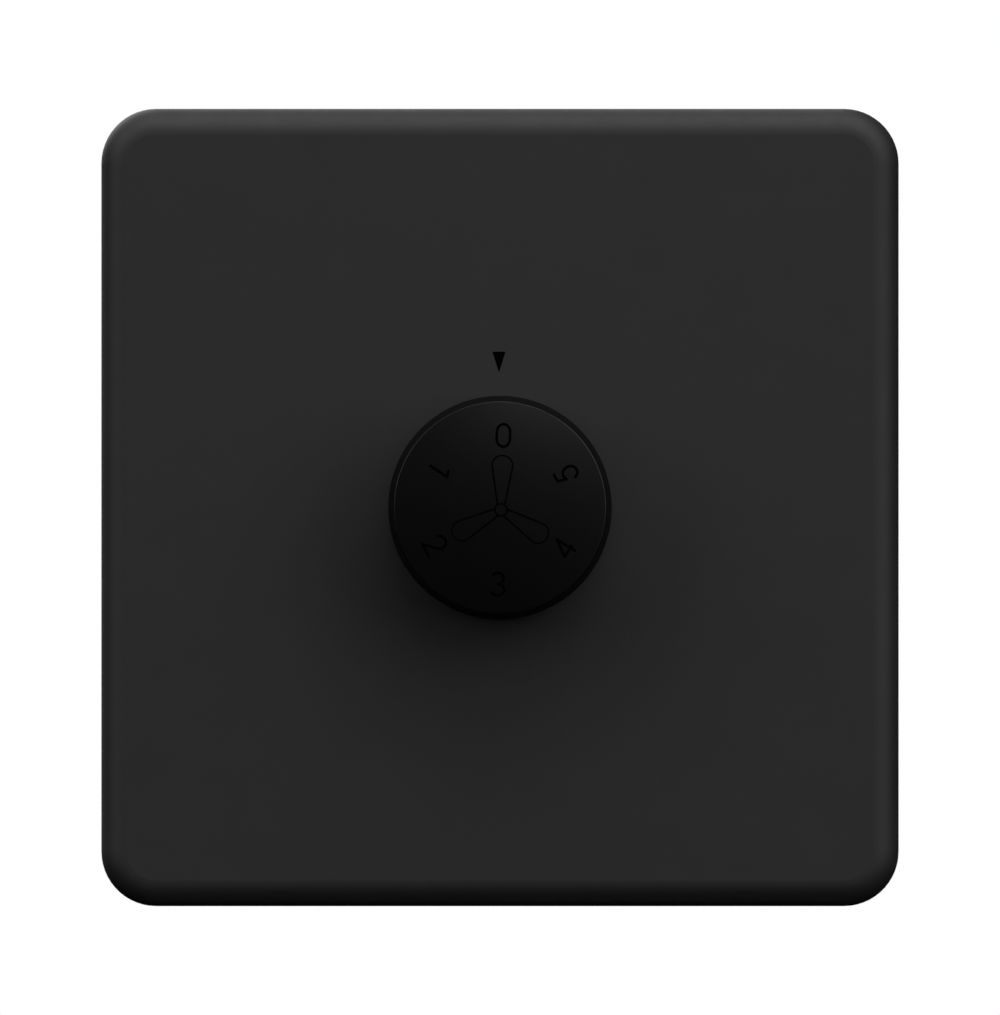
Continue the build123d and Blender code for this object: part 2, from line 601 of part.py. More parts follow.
def make_step_contacts():
    contacts = []
    for step in range(1, STEPS):
        inner = STATION_RADIUS - CONTACT_WIDTH / 2
        outer = STATION_RADIUS + CONTACT_WIDTH / 2
        pad = sector(inner, outer, station_angle(step), CONTACT_SPAN_DEG)
        contacts.append(make_contact(pad, pin_places()[step]))
    return Compound(contacts)


def make_contact_wafer():
    wafer = rounded_square(CASE_SIDE, CASE_CORNER_RADIUS) - Circle(TAIL_DIAMETER / 2 + RUNNING)
    wafer -= rivet_sketch(RIVET_DIAMETER / 2 + PLAY)
    pin_hole = CONTACT_PIN + 2 * PLAY
    wafer -= Sketch() + [Pos(x, y) * Rectangle(pin_hole, pin_hole) for x, y in pin_places()]
    return prism(wafer, WAFER_REAR, WAFER_FRONT)


def make_switch_rivets():
    shank = RIVET_DIAMETER / 2
    head = RIVET_HEAD_DIAMETER / 2
    front = FRAME_RECESS - PLAY
    rivet = turned(
        (0, WAFER_REAR - RIVET_HEAD),
        (shank, WAFER_REAR - RIVET_HEAD),
        (head, WAFER_REAR - RIVET_HEAD / 2),
        (head, WAFER_REAR),
        (shank, WAFER_REAR),
        (shank, front - RIVET_HEAD),
        (head, front - RIVET_HEAD),
        (head, front),
        (0, front),
    )
    return Compound([Pos(x, y, 0) * rivet for x, y in RIVETS])


def make_circuit_board():
    board = RectangleRounded(BOARD_WIDTH, BOARD_HEIGHT, BOARD_CORNER_RADIUS)
    board -= Sketch() + [Pos(x, y) * Circle(CONTACT_PIN) for x, y in pin_places()]
    board -= Sketch() + [Pos(x, y) * Circle(LEAD_DIAMETER / 2 + SNUG) for x, y in lead_places()]
    board -= Sketch() + [Pos(x, CAGE_Y) * Circle(CAGE_PIN) for x in POLES]
    return prism(board, BOARD_REAR, BOARD_FRONT)


def make_capacitor(x):
    footprint = Rectangle(CAPACITOR_WIDTH, CAPACITOR_LENGTH)
    block = prism(footprint, BOARD_FRONT, BOARD_FRONT + CAPACITOR_HEIGHT)
    block = fillet(block.edges().filter_by(Axis.Z), CAPACITOR_EDGE_RADIUS)
    leads = Sketch() + GridLocations(0, 2 * CAPACITOR_LEAD_Y, 1, 2) * Circle(LEAD_DIAMETER / 2)
    return Pos(x, 0, 0) * (block + prism(leads, BOARD_REAR - PIN_PROUD, BOARD_FRONT))


def make_resistor(length, diameter, pitch):
    """An axial resistor lying behind the board, with both leads bent through it."""
    height = BOARD_REAR - RESISTOR_LIFT - diameter / 2
    end = BOARD_FRONT + PIN_PROUD
    path = FilletPolyline(
        (-pitch / 2, 0, end),
        (-pitch / 2, 0, height),
        (pitch / 2, 0, height),
        (pitch / 2, 0, end),
        radius=LEAD_BEND_RADIUS,
    )
    lead = sweep(Plane(path @ 0, z_dir=path % 0) * Circle(LEAD_DIAMETER / 2), path)
    cap_length = RESISTOR_CAP_SHARE * length
    cap = fillet(Cylinder(diameter / 2, cap_length).edges(), RESISTOR_ROUNDING_SHARE * diameter)
    waist = Cylinder(RESISTOR_WAIST_SHARE * diameter / 2, length)
    reach = (length - cap_length) / 2
    body = waist + Pos(0, 0, reach) * cap + Pos(0, 0, -reach) * cap
    return lead + Pos(0, 0, height) * Rot(0, 90, 0) * body


def make_bleed_resistors():
    resistor = make_resistor(BLEED_LENGTH, BLEED_DIAMETER, BLEED_PITCH)
    return Compound([Pos(x, y, 0) * resistor for x, y in BLEEDS])


def make_surge_resistors():
    resistor = make_resistor(SURGE_LENGTH, SURGE_DIAMETER, SURGE_PITCH)
    return Compound([Pos(x, y, 0) * resistor for x, y in SURGES])


def wire_hole(x, diameter, rear_y, length):
    """A round hole for a wire, running up from below."""
    hole = Cylinder(diameter / 2, length, align=(Align.CENTER, Align.CENTER, Align.MIN))
    return Pos(x, rear_y, WIRE_Z) * Rot(-90, 0, 0) * hole


def make_terminal_block():
    bottom = -HOUSING_HEIGHT / 2
    outline = Pos(0, TERMINAL_Y) * Rectangle(TERMINAL_WIDTH, TERMINAL_DEPTH)
    block = prism(outline, HOUSING_REAR, BOARD_REAR)
    lower_edge = block.edges().filter_by(Axis.X).sort_by(Axis.Z)[:2].sort_by(Axis.Y)[0]
    block = fillet(lower_edge, HOUSING_EDGE_RADIUS)
    pocket = Rectangle(CAGE_WIDTH + 2 * SNUG, CAGE_DEPTH + 2 * SNUG)
    for x in POLES:
        block -= prism(Pos(x, CAGE_Y) * pocket, CAGE_REAR, BOARD_REAR)
        block -= wire_hole(x, WIRE_ENTRY_DIAMETER, bottom, TERMINAL_FRONT_WALL)
        block -= prism(Pos(x, CAGE_Y) * Circle(CLAMP_HEAD_DIAMETER / 2 + SNUG), HOUSING_REAR, CAGE_REAR)
    return block


def make_terminal_cages():
    cages = []
    for x in POLES:
        place = Pos(x, CAGE_Y)
        cage = prism(place * Rectangle(CAGE_WIDTH, CAGE_DEPTH), CAGE_REAR, CAGE_FRONT)
        cage -= wire_hole(x, WIRE_HOLE_DIAMETER, CAGE_Y - CAGE_DEPTH / 2, CAGE_DEPTH)
        cage -= prism(place * Circle(CLAMP_SCREW_DIAMETER / 2 + PLAY), CAGE_REAR, WIRE_Z)
        cage += prism(place * Rectangle(CAGE_PIN, CAGE_PIN), CAGE_FRONT, BOARD_FRONT + PIN_PROUD)
        cages.append(cage)
    return Compound(cages)


def make_terminal_screws():
    shank = Circle(CLAMP_SCREW_DIAMETER / 2)
    head = Circle(CLAMP_HEAD_DIAMETER / 2)
    head_rear = CLAMP_HEAD_FRONT - CLAMP_HEAD
    screw = prism(shank, CLAMP_HEAD_FRONT, CLAMP_TIP) + prism(head, head_rear, CLAMP_HEAD_FRONT)
    slot = Rectangle(2 * CLAMP_HEAD_DIAMETER, DRIVER_SLOT)
    screw -= prism(slot, head_rear, head_rear + DRIVER_SLOT_DEPTH)
    return Compound([Pos(x, CAGE_Y, 0) * screw for x in POLES])


def make_housing_vents():
    """Slots through the upper part of the rear wall and through the top wall."""
    rear_y = HOUSING_HEIGHT / 4
    slot = SlotOverall(REAR_VENT_LENGTH, VENT_WIDTH)
    rear = Sketch() + Pos(0, rear_y) * GridLocations(0, VENT_PITCH, 1, REAR_VENTS) * slot
    vents = prism(rear, HOUSING_REAR, HOUSING_FLOOR)
    top_z = (HOUSING_FLOOR + FRAME_RECESS) / 2
    top_slot = Box(VENT_WIDTH, 3 * HOUSING_WALL, TOP_VENT_LENGTH)
    for column in GridLocations(VENT_PITCH, 0, TOP_VENTS, 1):
        vents += Pos(0, HOUSING_HEIGHT / 2, top_z) * column * top_slot
    return vents


def make_rear_housing():
    outline = RectangleRounded(HOUSING_WIDTH, HOUSING_HEIGHT, HOUSING_CORNER_RADIUS)
    inner = RectangleRounded(HOUSING_INNER_WIDTH, HOUSING_INNER_HEIGHT, BOARD_CORNER_RADIUS)
    housing = prism(outline, HOUSING_REAR, FRAME_RECESS)
    housing = fillet(housing.faces().sort_by(Axis.Z)[0].edges(), HOUSING_EDGE_RADIUS)
    housing -= prism(inner, HOUSING_FLOOR, FRAME_RECESS)
    column = Rectangle(HOUSING_COLUMN, HOUSING_COLUMN)
    columns = Sketch() + GridLocations(HOUSING_INNER_WIDTH, HOUSING_INNER_HEIGHT, 2, 2) * column
    housing += prism(columns & inner, HOUSING_FLOOR, BOARD_REAR)
    strip = SlotCenterToCenter(2 * EAR_Y, EAR_WIDTH, rotation=90)
    ears = (Sketch() + GridLocations(EAR_SPACING, 0, 2, 1) * strip) - inner
    housing += prism(ears, FRAME_RECESS - EAR_THICKNESS, FRAME_RECESS)
    screw_holes = Sketch() + ear_places() * Circle(SCREW_DIAMETER / 2 + SNUG)
    housing -= prism(screw_holes, FRAME_RECESS - EAR_THICKNESS, FRAME_RECESS)
    window = Rectangle(TERMINAL_WIDTH + 2 * SLIP, 2 * TERMINAL_DEPTH + 2 * SLIP)
    housing -= prism(Pos(0, -HOUSING_HEIGHT / 2) * window, HOUSING_REAR, BOARD_REAR + SLIP)
    return housing - make_housing_vents()


def make_housing_screws():
    ear_rear = FRAME_RECESS - EAR_THICKNESS
    shank = SCREW_DIAMETER / 2
    head = SCREW_HEAD_DIAMETER / 2
    point = SCREW_TIP_DIAMETER / 2
    tip = FRAME_TOP - FRAME_WEB / 2 - SLIP
    screw = turned(
        (0, ear_rear - SCREW_HEAD),
        (head / 2, ear_rear - SCREW_HEAD),
        (head, ear_rear - SCREW_HEAD / 2),
        (head, ear_rear),
        (shank, ear_rear),
        (shank, tip - (shank - point)),
        (point, tip),
        (0, tip),
    )
    arm = Rectangle(head, DRIVER_SLOT)
    cross = arm + Rot(0, 0, 90) * arm
    screw -= prism(cross, ear_rear - SCREW_HEAD, ear_rear - SCREW_HEAD + DRIVER_SLOT_DEPTH)
    return Compound([place * screw for place in ear_places()])


PIECES = {
    "front_plate": make_front_plate(),
    "mounting_frame": make_mounting_frame(),
    "knob": make_knob(),
    "knob_spring_clip": make_knob_spring_clip(),
    "spindle": make_spindle(),
    "spindle_clip": make_spindle_clip(),
    "spindle_bush": make_spindle_bush(),
    "bush_washer": make_bush_washer(),
    "bush_nut": make_bush_nut(),
    "switch_case": make_switch_case(),
    "detent_wheel": make_detent_wheel(),
    "detent_spring": make_detent_spring(),
    "contact_rotor": make_contact_rotor(),
    "wiper_blade": make_wiper_blade(),
    "common_contact": make_common_contact(),
    "step_contacts": make_step_contacts(),
    "contact_wafer": make_contact_wafer(),
    "switch_rivets": make_switch_rivets(),
    "circuit_board": make_circuit_board(),
    "capacitor_left": make_capacitor(-CAPACITOR_X),
    "capacitor_right": make_capacitor(CAPACITOR_X),
    "bleed_resistors": make_bleed_resistors(),
    "surge_resistors": make_surge_resistors(),
    "terminal_block": make_terminal_block(),
    "terminal_cages": make_terminal_cages(),
    "terminal_screws": make_terminal_screws(),
    "rear_housing": make_rear_housing(),
    "housing_screws": make_housing_screws(),
}

os.makedirs("parts", exist_ok=True)
stand_upright = Rot(90, 0, 0)
for name, piece in PIECES.items():
    export_step(stand_upright * piece, f"parts/{name}.step")
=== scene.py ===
import json
from math import cos, pi, radians, sin, sqrt

import bmesh
import bpy
from mathutils import Matrix, Vector


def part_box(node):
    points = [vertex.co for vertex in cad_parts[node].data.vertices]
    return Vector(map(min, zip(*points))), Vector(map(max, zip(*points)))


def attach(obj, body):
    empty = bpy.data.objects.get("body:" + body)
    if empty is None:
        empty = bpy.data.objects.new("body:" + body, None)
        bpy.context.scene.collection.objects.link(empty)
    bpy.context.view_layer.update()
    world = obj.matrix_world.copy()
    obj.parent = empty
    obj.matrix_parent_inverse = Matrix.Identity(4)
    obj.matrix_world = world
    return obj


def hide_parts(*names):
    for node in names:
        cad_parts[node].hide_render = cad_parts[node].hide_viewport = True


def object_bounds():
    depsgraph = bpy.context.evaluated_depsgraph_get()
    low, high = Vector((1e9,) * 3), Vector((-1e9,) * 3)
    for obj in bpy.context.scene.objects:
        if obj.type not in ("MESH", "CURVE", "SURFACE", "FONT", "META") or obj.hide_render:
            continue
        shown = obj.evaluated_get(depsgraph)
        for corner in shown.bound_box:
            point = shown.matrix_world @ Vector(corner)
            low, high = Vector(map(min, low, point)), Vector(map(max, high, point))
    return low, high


# A rotary fan-speed control for a wall box, seen straight on. Metres, in the part's own frame:
# x to the right, y into the wall, z up, with the wall at y = 0.
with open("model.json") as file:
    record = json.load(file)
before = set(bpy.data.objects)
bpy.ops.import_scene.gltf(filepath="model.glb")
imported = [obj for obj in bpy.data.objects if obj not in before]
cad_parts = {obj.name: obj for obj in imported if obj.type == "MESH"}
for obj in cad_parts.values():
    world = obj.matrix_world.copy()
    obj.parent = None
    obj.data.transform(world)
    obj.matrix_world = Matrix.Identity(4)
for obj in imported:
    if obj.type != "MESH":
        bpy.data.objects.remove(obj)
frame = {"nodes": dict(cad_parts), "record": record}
cad_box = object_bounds()
nodes = frame["nodes"]

MM = 0.001

# Camera
IMAGE_LONG_SIDE_PX = 1015
PHOTO_PX_PER_MM = 9.27
CAMERA_DISTANCE = 2.5
CAMERA_CLIP = (0.1, 100.0)
SENSOR_MM = 36.0

# Studio
FLOOR_DROP = 2.0
FLOOR_SIDE = 0.65
FLOOR_GLOW = 0.6
FLOOR_PATCH = 0.2
FLOOR_SHADES = (0.78, 0.82)
FLOOR_ROUGHNESS = 0.9
ROOM_GLOW = 0.005
BACKDROP_COSINE = 0.95
WHITE = (1.0, 1.0, 1.0)

# Soft boxes: azimuth and elevation (degrees), distance and side (m), power (W), spread (degrees)
LAMPS = {
    "key": (27, 43, 1.2, 1.4, 5.1, 180),
    "top": (0, 75, 1.1, 1.2, 7.8, 180),
    "left": (-55, 25, 1.2, 1.0, 5.0, 180),
    "right": (50, 17, 1.2, 1.05, 4.6, 180),
    "back": (-152, 33, 1.5, 1.4, 3.8, 80),
}

# Marks engraved in the knob's face, counted from their common centre
MARKS_OFFSET = Vector((0.1 * MM, -0.25 * MM))
MARKS_TURN_DEG = -1.9
MARK_DEPTH = 0.2 * MM
MARK_CLEAR = 0.3 * MM
DIGIT_RADIUS = 7.95 * MM
DIGIT_HALF_WIDTH = 0.71 * MM
DIGIT_HALF_HEIGHT = 1.21 * MM
DIGIT_STROKE = 0.28 * MM
DIGIT_STEP_DEG = 60.0
ARC_STEP_DEG = 7.5
CAP_STEPS = 6
BLADES = 3
BLADE_ROOT_RADIUS = 0.65 * MM
BLADE_ROOT_HALF = 0.41 * MM
BLADE_HALF = 1.1 * MM
BLADE_TAPER_DEG = 9.0
BLADE_WIDEST_RADIUS = 4.75 * MM
BLADE_TIP_RADIUS = 5.8 * MM
HUB_RADIUS = 0.65 * MM
OUTLINE_STROKE = 0.17 * MM

# A line whose ends lie nearer than this share of its width is closed
CLOSED_SHARE = 0.1

# The knob's dome is read from the mesh between the digits' circle and this radius
DOME_RIM_RADIUS = 1.25 * DIGIT_RADIUS

# Faces that lean less than this belong to the dome, and steeper edges elsewhere stay sharp
DOME_LEAN_DEG = 3.0
SHARP_EDGE_DEG = 25.0

# The knob's matt side begins this far behind the front of its dome
KNOB_SIDE_DEPTH = 0.6 * MM

# Points nearer than this are one: in the CAD mesh, and in what the cut leaves
WELD = MM / 1000
SLIVER_WELD = MM / 2000

# Pointer printed on the plate above the knob
POINTER_TOP = 16.75 * MM
POINTER_TIP = 14.5 * MM
POINTER_HALF_WIDTH = 0.7 * MM
POINTER_X = -0.11 * MM
POINTER_CORNER = 0.04 * MM
POINTER_CORNER_STEPS = 4
ROUND_PROFILE = 0.5
PRINT_THICKNESS = 0.02 * MM

# Noise: the middle of its range, which is spread over a whole swing
NOISE_MIDDLE = (0.3, 0.7)

# Finishes: sizes of patches and grain, shades as shares of the colour, roughness from low to high, relief
PLASTIC_PATCH = 6 * MM
PLASTIC_GLOSS_PATCH = 1.5 * MM
METAL_PATCH = 2 * MM
METAL_SHADES = (0.82, 1.08)
METAL_SCRATCH = 0.15 * MM
METAL_SMOOTHER = 0.08
METAL_ROUGHER = 0.1
METAL_RELIEF = 0.002 * MM
LAMINATE_STRETCH = (1, 1, 6)
LAMINATE_SHADES = (0.8, 1.15)
LAMINATE_PATCH = 3 * MM
LAMINATE_GLOSS = (0.4, 0.55)
LAMINATE_RELIEF = 0.004 * MM
CAPACITOR_COLOUR = (0.72, 0.5, 0.06)
CAPACITOR_PATCH = 2 * MM
CAPACITOR_SHADES = (0.9, 1.05)
CAPACITOR_GRAIN = 0.4 * MM
CAPACITOR_GLOSS = (0.35, 0.5)
CAPACITOR_RELIEF = 0.004 * MM
RESISTOR_GRAIN = 0.5 * MM
RESISTOR_GLOSS = (0.25, 0.4)
RESISTOR_RELIEF = 0.01 * MM
TIN = (0.72, 0.72, 0.7, 1.0)

PLASTICS = {
    "plate_black": dict(
        colour=(0.013, 0.013, 0.0131), roughness=0.6, grain=0.16 * MM, relief=0.006 * MM, mottle=0.05),
    "knob_black": dict(
        colour=(0.001, 0.001, 0.001), roughness=0.28, grain=0.3 * MM, relief=0.0002 * MM, patchy=0.004),
    "knob_side_black": dict(
        colour=(0.0026, 0.0026, 0.0026), roughness=0.5, grain=0.15 * MM, relief=0.001 * MM,
        specular=0.04),
    # Painted shade: the grooves get a blacker, matt and barely glossy finish than the knob's face, which
    # darkens them beyond the shade their depth casts
    "engraving_black": dict(
        colour=(0.0004, 0.0004, 0.0004), roughness=0.9, grain=0.1 * MM, relief=0.002 * MM,
        specular=0.05),
    "pointer_ink": dict(
        colour=(0.0002, 0.0002, 0.0002), roughness=0.9, grain=0.1 * MM, relief=0.001 * MM,
        specular=0.02),
    "frame_grey": dict(
        colour=(0.06, 0.062, 0.065), roughness=0.5, grain=0.2 * MM, relief=0.004 * MM),
    "housing_black": dict(
        colour=(0.012, 0.012, 0.0125), roughness=0.55, grain=0.25 * MM, relief=0.01 * MM),
    "phenolic_black": dict(
        colour=(0.01, 0.009, 0.008), roughness=0.45, grain=0.3 * MM, relief=0.004 * MM),
    "terminal_grey": dict(
        colour=(0.16, 0.17, 0.175), roughness=0.45, grain=0.2 * MM, relief=0.003 * MM, mottle=0.06),
    "acetal_ivory": dict(
        colour=(0.72, 0.68, 0.58), roughness=0.4, grain=0.3 * MM, relief=0.003 * MM, mottle=0.04),
}
METALS = {
    "spring_steel": dict(colour=(0.56, 0.57, 0.58), roughness=0.3, stretch=(1, 8, 8)),
    "zinc_steel": dict(colour=(0.62, 0.64, 0.66), roughness=0.34),
    "bush_brass": dict(colour=(0.75, 0.55, 0.26), roughness=0.3, stretch=(1, 6, 1)),
    "contact_brass": dict(colour=(0.8, 0.58, 0.3), roughness=0.28),
}
LAMINATES = {
    "wafer_brown": dict(colour=(0.17, 0.085, 0.04), fibre=0.2 * MM),
    "board_tan": dict(colour=(0.42, 0.29, 0.14), fibre=0.25 * MM),
}

# Resistors: each band starts at a share of the body's length
BAND_WIDTH = 0.08
BODY_END = 0.99
BROWN = (0.12, 0.04, 0.015)
BLACK = (0.01, 0.01, 0.01)
RED = (0.45, 0.02, 0.015)
GOLD = (0.5, 0.32, 0.08)
RESISTORS = {
    "resistor_beige": dict(
        colour=(0.62, 0.47, 0.3), middle_x=6.8 * MM, length=6.5 * MM,
        bands=((0.2, BROWN), (0.36, BLACK), (0.52, GOLD), (0.74, GOLD))),
    "resistor_grey": dict(
        colour=(0.3, 0.34, 0.36), middle_x=0.0, length=11 * MM,
        bands=((0.2, RED), (0.34, RED), (0.48, GOLD), (0.74, GOLD))),
}


# Marks

def arc(centre, half_width, half_height, start_deg, end_deg):
    """Points along part of an ellipse."""
    steps = max(2, round(abs(end_deg - start_deg) / ARC_STEP_DEG))
    points = []
    for i in range(steps + 1):
        angle = radians(start_deg + (end_deg - start_deg) * i / steps)
        x = centre[0] + half_width * cos(angle)
        y = centre[1] + half_height * sin(angle)
        points.append(Vector((x, y)))
    return points


def line(*corners):
    return [Vector(corner) for corner in corners]


def digit_strokes():
    """Centre lines of the digits 0 to 5, each in a box from -1 to 1; a corner parts two strokes."""
    zero_top = arc((0, 0.3), 1, 0.7, 0, 180)
    zero = [zero_top + arc((0, -0.3), 1, 0.7, 180, 360) + zero_top[:1]]
    one = [line((-0.75, 0.82), (0.08, 1)), line((0.08, 1), (0, -0.78))]
    two_bow = arc((0, 0.42), 0.95, 0.58, 165, -35)
    two = [two_bow + line((-1, -1)), line((-1, -1), (1, -1))]
    three = [arc((-0.1, 0.5), 0.85, 0.5, 150, -60), arc((-0.1, -0.5), 1, 0.5, 90, -150)]
    four_bar = line((-0.8, -0.4), (1, -0.4))
    four = [line((0.54, 0.9), (-0.95, -0.4)), four_bar, line((0.65, 1), (0.65, -0.9))]
    five_bow = arc((0, -0.35), 1, 0.65, 125, -160)
    five = [line((0.9, 0.97), (-0.22, 1)), line((-0.22, 1), five_bow[0]), five_bow]
    return [zero, one, two, three, four, five]


def blade_outline():
    """Outline of one fan blade, pointing up from the hub: straight sides that run into a round tip."""
    tip_height = BLADE_TIP_RADIUS - BLADE_WIDEST_RADIUS
    tip = arc((0, BLADE_WIDEST_RADIUS), BLADE_HALF, tip_height, -BLADE_TAPER_DEG, 180 + BLADE_TAPER_DEG)
    start, end = line((BLADE_ROOT_HALF, BLADE_ROOT_RADIUS), (-BLADE_ROOT_HALF, BLADE_ROOT_RADIUS))
    return [start] + tip + [end]


def side_of(points, i, closed):
    """Unit vector to the left of the line's course at a point."""
    if closed:
        before, after = points[i - 1], points[(i + 1) % len(points)]
    else:
        before, after = points[max(i - 1, 0)], points[min(i + 1, len(points) - 1)]
    course = (after - before).normalized()
    return Vector((-course.y, course.x))


def edge_line(points, offset, closed):
    return [point + side_of(points, i, closed) * offset for i, point in enumerate(points)]


def round_end(points, half_width):
    """Half circle past the last point, from the left of the line to its right."""
    left = side_of(points, len(points) - 1, False)
    end = []
    for i in range(1, CAP_STEPS):
        turn = Matrix.Rotation(-pi * i / CAP_STEPS, 2)
        end.append(points[-1] + turn @ left * half_width)
    return end


def wall(shape, low, high):
    """Quads between two loops of vertices, one above the other."""
    for i in range(len(low)):
        shape.faces.new((low[i - 1], low[i], high[i], high[i - 1]))


def raise_loop(shape, outline, height, place):
    return [shape.verts.new(place @ Vector((point.x, point.y, height))) for point in outline]


def add_stroke(shape, points, width, place):
    """Adds the solid that one groove takes out: upright walls along a centre line."""
    half = width / 2
    closed = (points[0] - points[-1]).length < CLOSED_SHARE * width
    if closed:
        ring = points[:-1]
        outer = edge_line(ring, -half, True)
        inner = edge_line(ring, half, True)
        loops = [raise_loop(shape, outline, height, place)
                 for outline in (outer, inner) for height in (-MARK_DEPTH, MARK_CLEAR)]
        outer_low, outer_high, inner_low, inner_high = loops
        wall(shape, outer_low, outer_high)
        wall(shape, inner_high, inner_low)
        wall(shape, outer_high, inner_high)
        wall(shape, inner_low, outer_low)
    else:
        back = points[::-1]
        outline = edge_line(points, half, False) + round_end(points, half)
        outline += edge_line(back, half, False) + round_end(back, half)
        outline.reverse()
        low = raise_loop(shape, outline, -MARK_DEPTH, place)
        high = raise_loop(shape, outline, MARK_CLEAR, place)
        wall(shape, low, high)
        shape.faces.new(high)
        shape.faces.new(low[::-1])


def dome_of(knob):
    """Centre and radius of the sphere that the knob's face is part of."""
    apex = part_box("knob")[0].y
    best = None
    for vertex in knob.data.vertices:
        across = Vector((vertex.co.x, vertex.co.z)).length
        sink = vertex.co.y - apex
        if DIGIT_RADIUS < across < DOME_RIM_RADIUS and (best is None or sink < best[0]):
            best = (sink, across)
    sink, across = best
    radius = (across**2 + sink**2) / (2 * sink)
    return Vector((0, apex + radius, 0)), radius


def mark_place(dome, spot, up):
    """Frame of a mark that lies on the dome: its own x, its top and the way out of the face."""
    centre, radius = dome
    depth = sqrt(radius**2 - spot.length_squared)
    out = Vector((spot.x, -depth, spot.y)) / radius
    top = Vector((up.x, 0, up.y))
    top = (top - out * top.dot(out)).normalized()
    place = Matrix((top.cross(out), top, out)).transposed().to_4x4()
    place.translation = centre + out * radius
    return place


def make_mark_cutter(dome):
    """One mesh with everything that the engraving takes out of the knob's face."""
    shape = bmesh.new()
    for digit, strokes in enumerate(digit_strokes()):
        angle = radians(MARKS_TURN_DEG + DIGIT_STEP_DEG * digit)
        outward = Vector((-sin(angle), cos(angle)))
        place = mark_place(dome, MARKS_OFFSET + outward * DIGIT_RADIUS, -outward)
        for stroke in strokes:
            points = [Vector((p.x * DIGIT_HALF_WIDTH, p.y * DIGIT_HALF_HEIGHT)) for p in stroke]
            add_stroke(shape, points, DIGIT_STROKE, place)
    for blade in range(BLADES):
        angle = radians(MARKS_TURN_DEG + 360 * blade / BLADES)
        place = mark_place(dome, MARKS_OFFSET, Vector((-sin(angle), cos(angle))))
        add_stroke(shape, blade_outline(), OUTLINE_STROKE, place)
    place = mark_place(dome, MARKS_OFFSET, Vector((0, 1)))
    add_stroke(shape, arc((0, 0), HUB_RADIUS, HUB_RADIUS, 0, 360), OUTLINE_STROKE, place)
    return finish_mesh("mark_cutter", shape)


def finish_mesh(name, shape):
    """Turns a bmesh into an object in the scene."""
    bmesh.ops.recalc_face_normals(shape, faces=shape.faces)
    mesh = bpy.data.meshes.new(name)
    shape.to_mesh(mesh)
    shape.free()
    made = bpy.data.objects.new(name, mesh)
    bpy.context.scene.collection.objects.link(made)
    return made


def smooth_dome(mesh, dome):
    """Exact normals on the domed face, so that the engraving leaves no facets round it."""
    centre, radius = dome
    mesh.shade_smooth()
    mesh.set_sharp_from_angle(angle=radians(SHARP_EDGE_DEG))
    normals = [Vector(corner.vector) for corner in mesh.corner_normals]
    for face in mesh.polygons:
        outward = (face.center - centre).normalized()
        on_dome = abs((face.center - centre).length - radius) < 2 * MARK_DEPTH
        if on_dome and face.normal.dot(outward) > cos(radians(DOME_LEAN_DEG)):
            for loop in face.loop_indices:
                point = mesh.vertices[mesh.loops[loop].vertex_index].co
                normals[loop] = (point - centre).normalized()
    mesh.normals_split_custom_set(normals)


def clean_cut(mesh):
    """Takes out the slivers that the cut leaves where strokes cross."""
    shape = bmesh.new()
    shape.from_mesh(mesh)
    bmesh.ops.remove_doubles(shape, verts=shape.verts, dist=SLIVER_WELD)
    bmesh.ops.dissolve_degenerate(shape, edges=shape.edges, dist=SLIVER_WELD)
    shape.to_mesh(mesh)
    shape.free()


def split_faces(shape, y):
    """Cuts the faces that cross a plane, so that a finish can end there on a clean line."""
    everything = shape.verts[:] + shape.edges[:] + shape.faces[:]
    bmesh.ops.bisect_plane(shape, geom=everything, dist=WELD, plane_co=(0, y, 0), plane_no=(0, 1, 0))


def part_side(mesh, side, y):
    """Gives the knob's faces behind its rim their own finish."""
    mesh.materials.append(side)
    for face in mesh.polygons:
        if face.material_index == 0 and face.center.y > y:
            face.material_index = len(mesh.materials) - 1


def make_engraved_knob(plastic, side, groove):
    """A copy of the knob's solid with the marks cut into its face and their grooves given painted shade,
    which stands for the CAD knob.
    """
    node = nodes["knob"]
    dome = dome_of(node)
    shape = bmesh.new()
    shape.from_mesh(node.data)
    bmesh.ops.remove_doubles(shape, verts=shape.verts, dist=WELD)
    side_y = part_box("knob")[0].y + KNOB_SIDE_DEPTH
    split_faces(shape, side_y)
    knob = finish_mesh("engraved_knob", shape)
    cutter = make_mark_cutter(dome)
    knob.data.materials.clear()
    knob.data.materials.append(plastic)
    # The grooves' faces take the painted shade: a blacker, matt finish than the knob's face
    cutter.data.materials.append(groove)
    cut = knob.modifiers.new("engraving", "BOOLEAN")
    cut.operation = "DIFFERENCE"
    cut.solver = "EXACT"
    cut.use_self = True
    cut.material_mode = "TRANSFER"
    cut.object = cutter
    evaluated = knob.evaluated_get(bpy.context.evaluated_depsgraph_get())
    engraved = bpy.data.meshes.new_from_object(evaluated)
    knob.modifiers.clear()
    knob.data = engraved
    bpy.data.objects.remove(cutter)
    clean_cut(engraved)
    smooth_dome(engraved, dome)
    part_side(engraved, side, side_y)
    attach(knob, "dial")
    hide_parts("knob")


def make_pointer(ink):
    """A small triangle that points down at the knob, printed on the plate's face."""
    face_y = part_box("front_plate")[0].y
    corners = line(
        (POINTER_X - POINTER_HALF_WIDTH, POINTER_TOP),
        (POINTER_X, POINTER_TIP),
        (POINTER_X + POINTER_HALF_WIDTH, POINTER_TOP),
    )
    shape = bmesh.new()
    loops = []
    for y in (face_y, face_y - PRINT_THICKNESS):
        loops.append([shape.verts.new((corner.x, y, corner.y)) for corner in corners])
    wall(shape, *loops)
    for loop in loops:
        shape.faces.new(loop)
    upright = []
    for edge in shape.edges:
        start, end = edge.verts
        if abs(start.co.y - end.co.y) > PRINT_THICKNESS / 2:
            upright.append(edge)
    bmesh.ops.bevel(
        shape, geom=upright, affect="EDGES",
        offset=POINTER_CORNER, segments=POINTER_CORNER_STEPS, profile=ROUND_PROFILE)
    pointer = finish_mesh("printed_pointer", shape)
    pointer.data.materials.append(ink)
    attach(pointer, "wall_unit")


# Materials

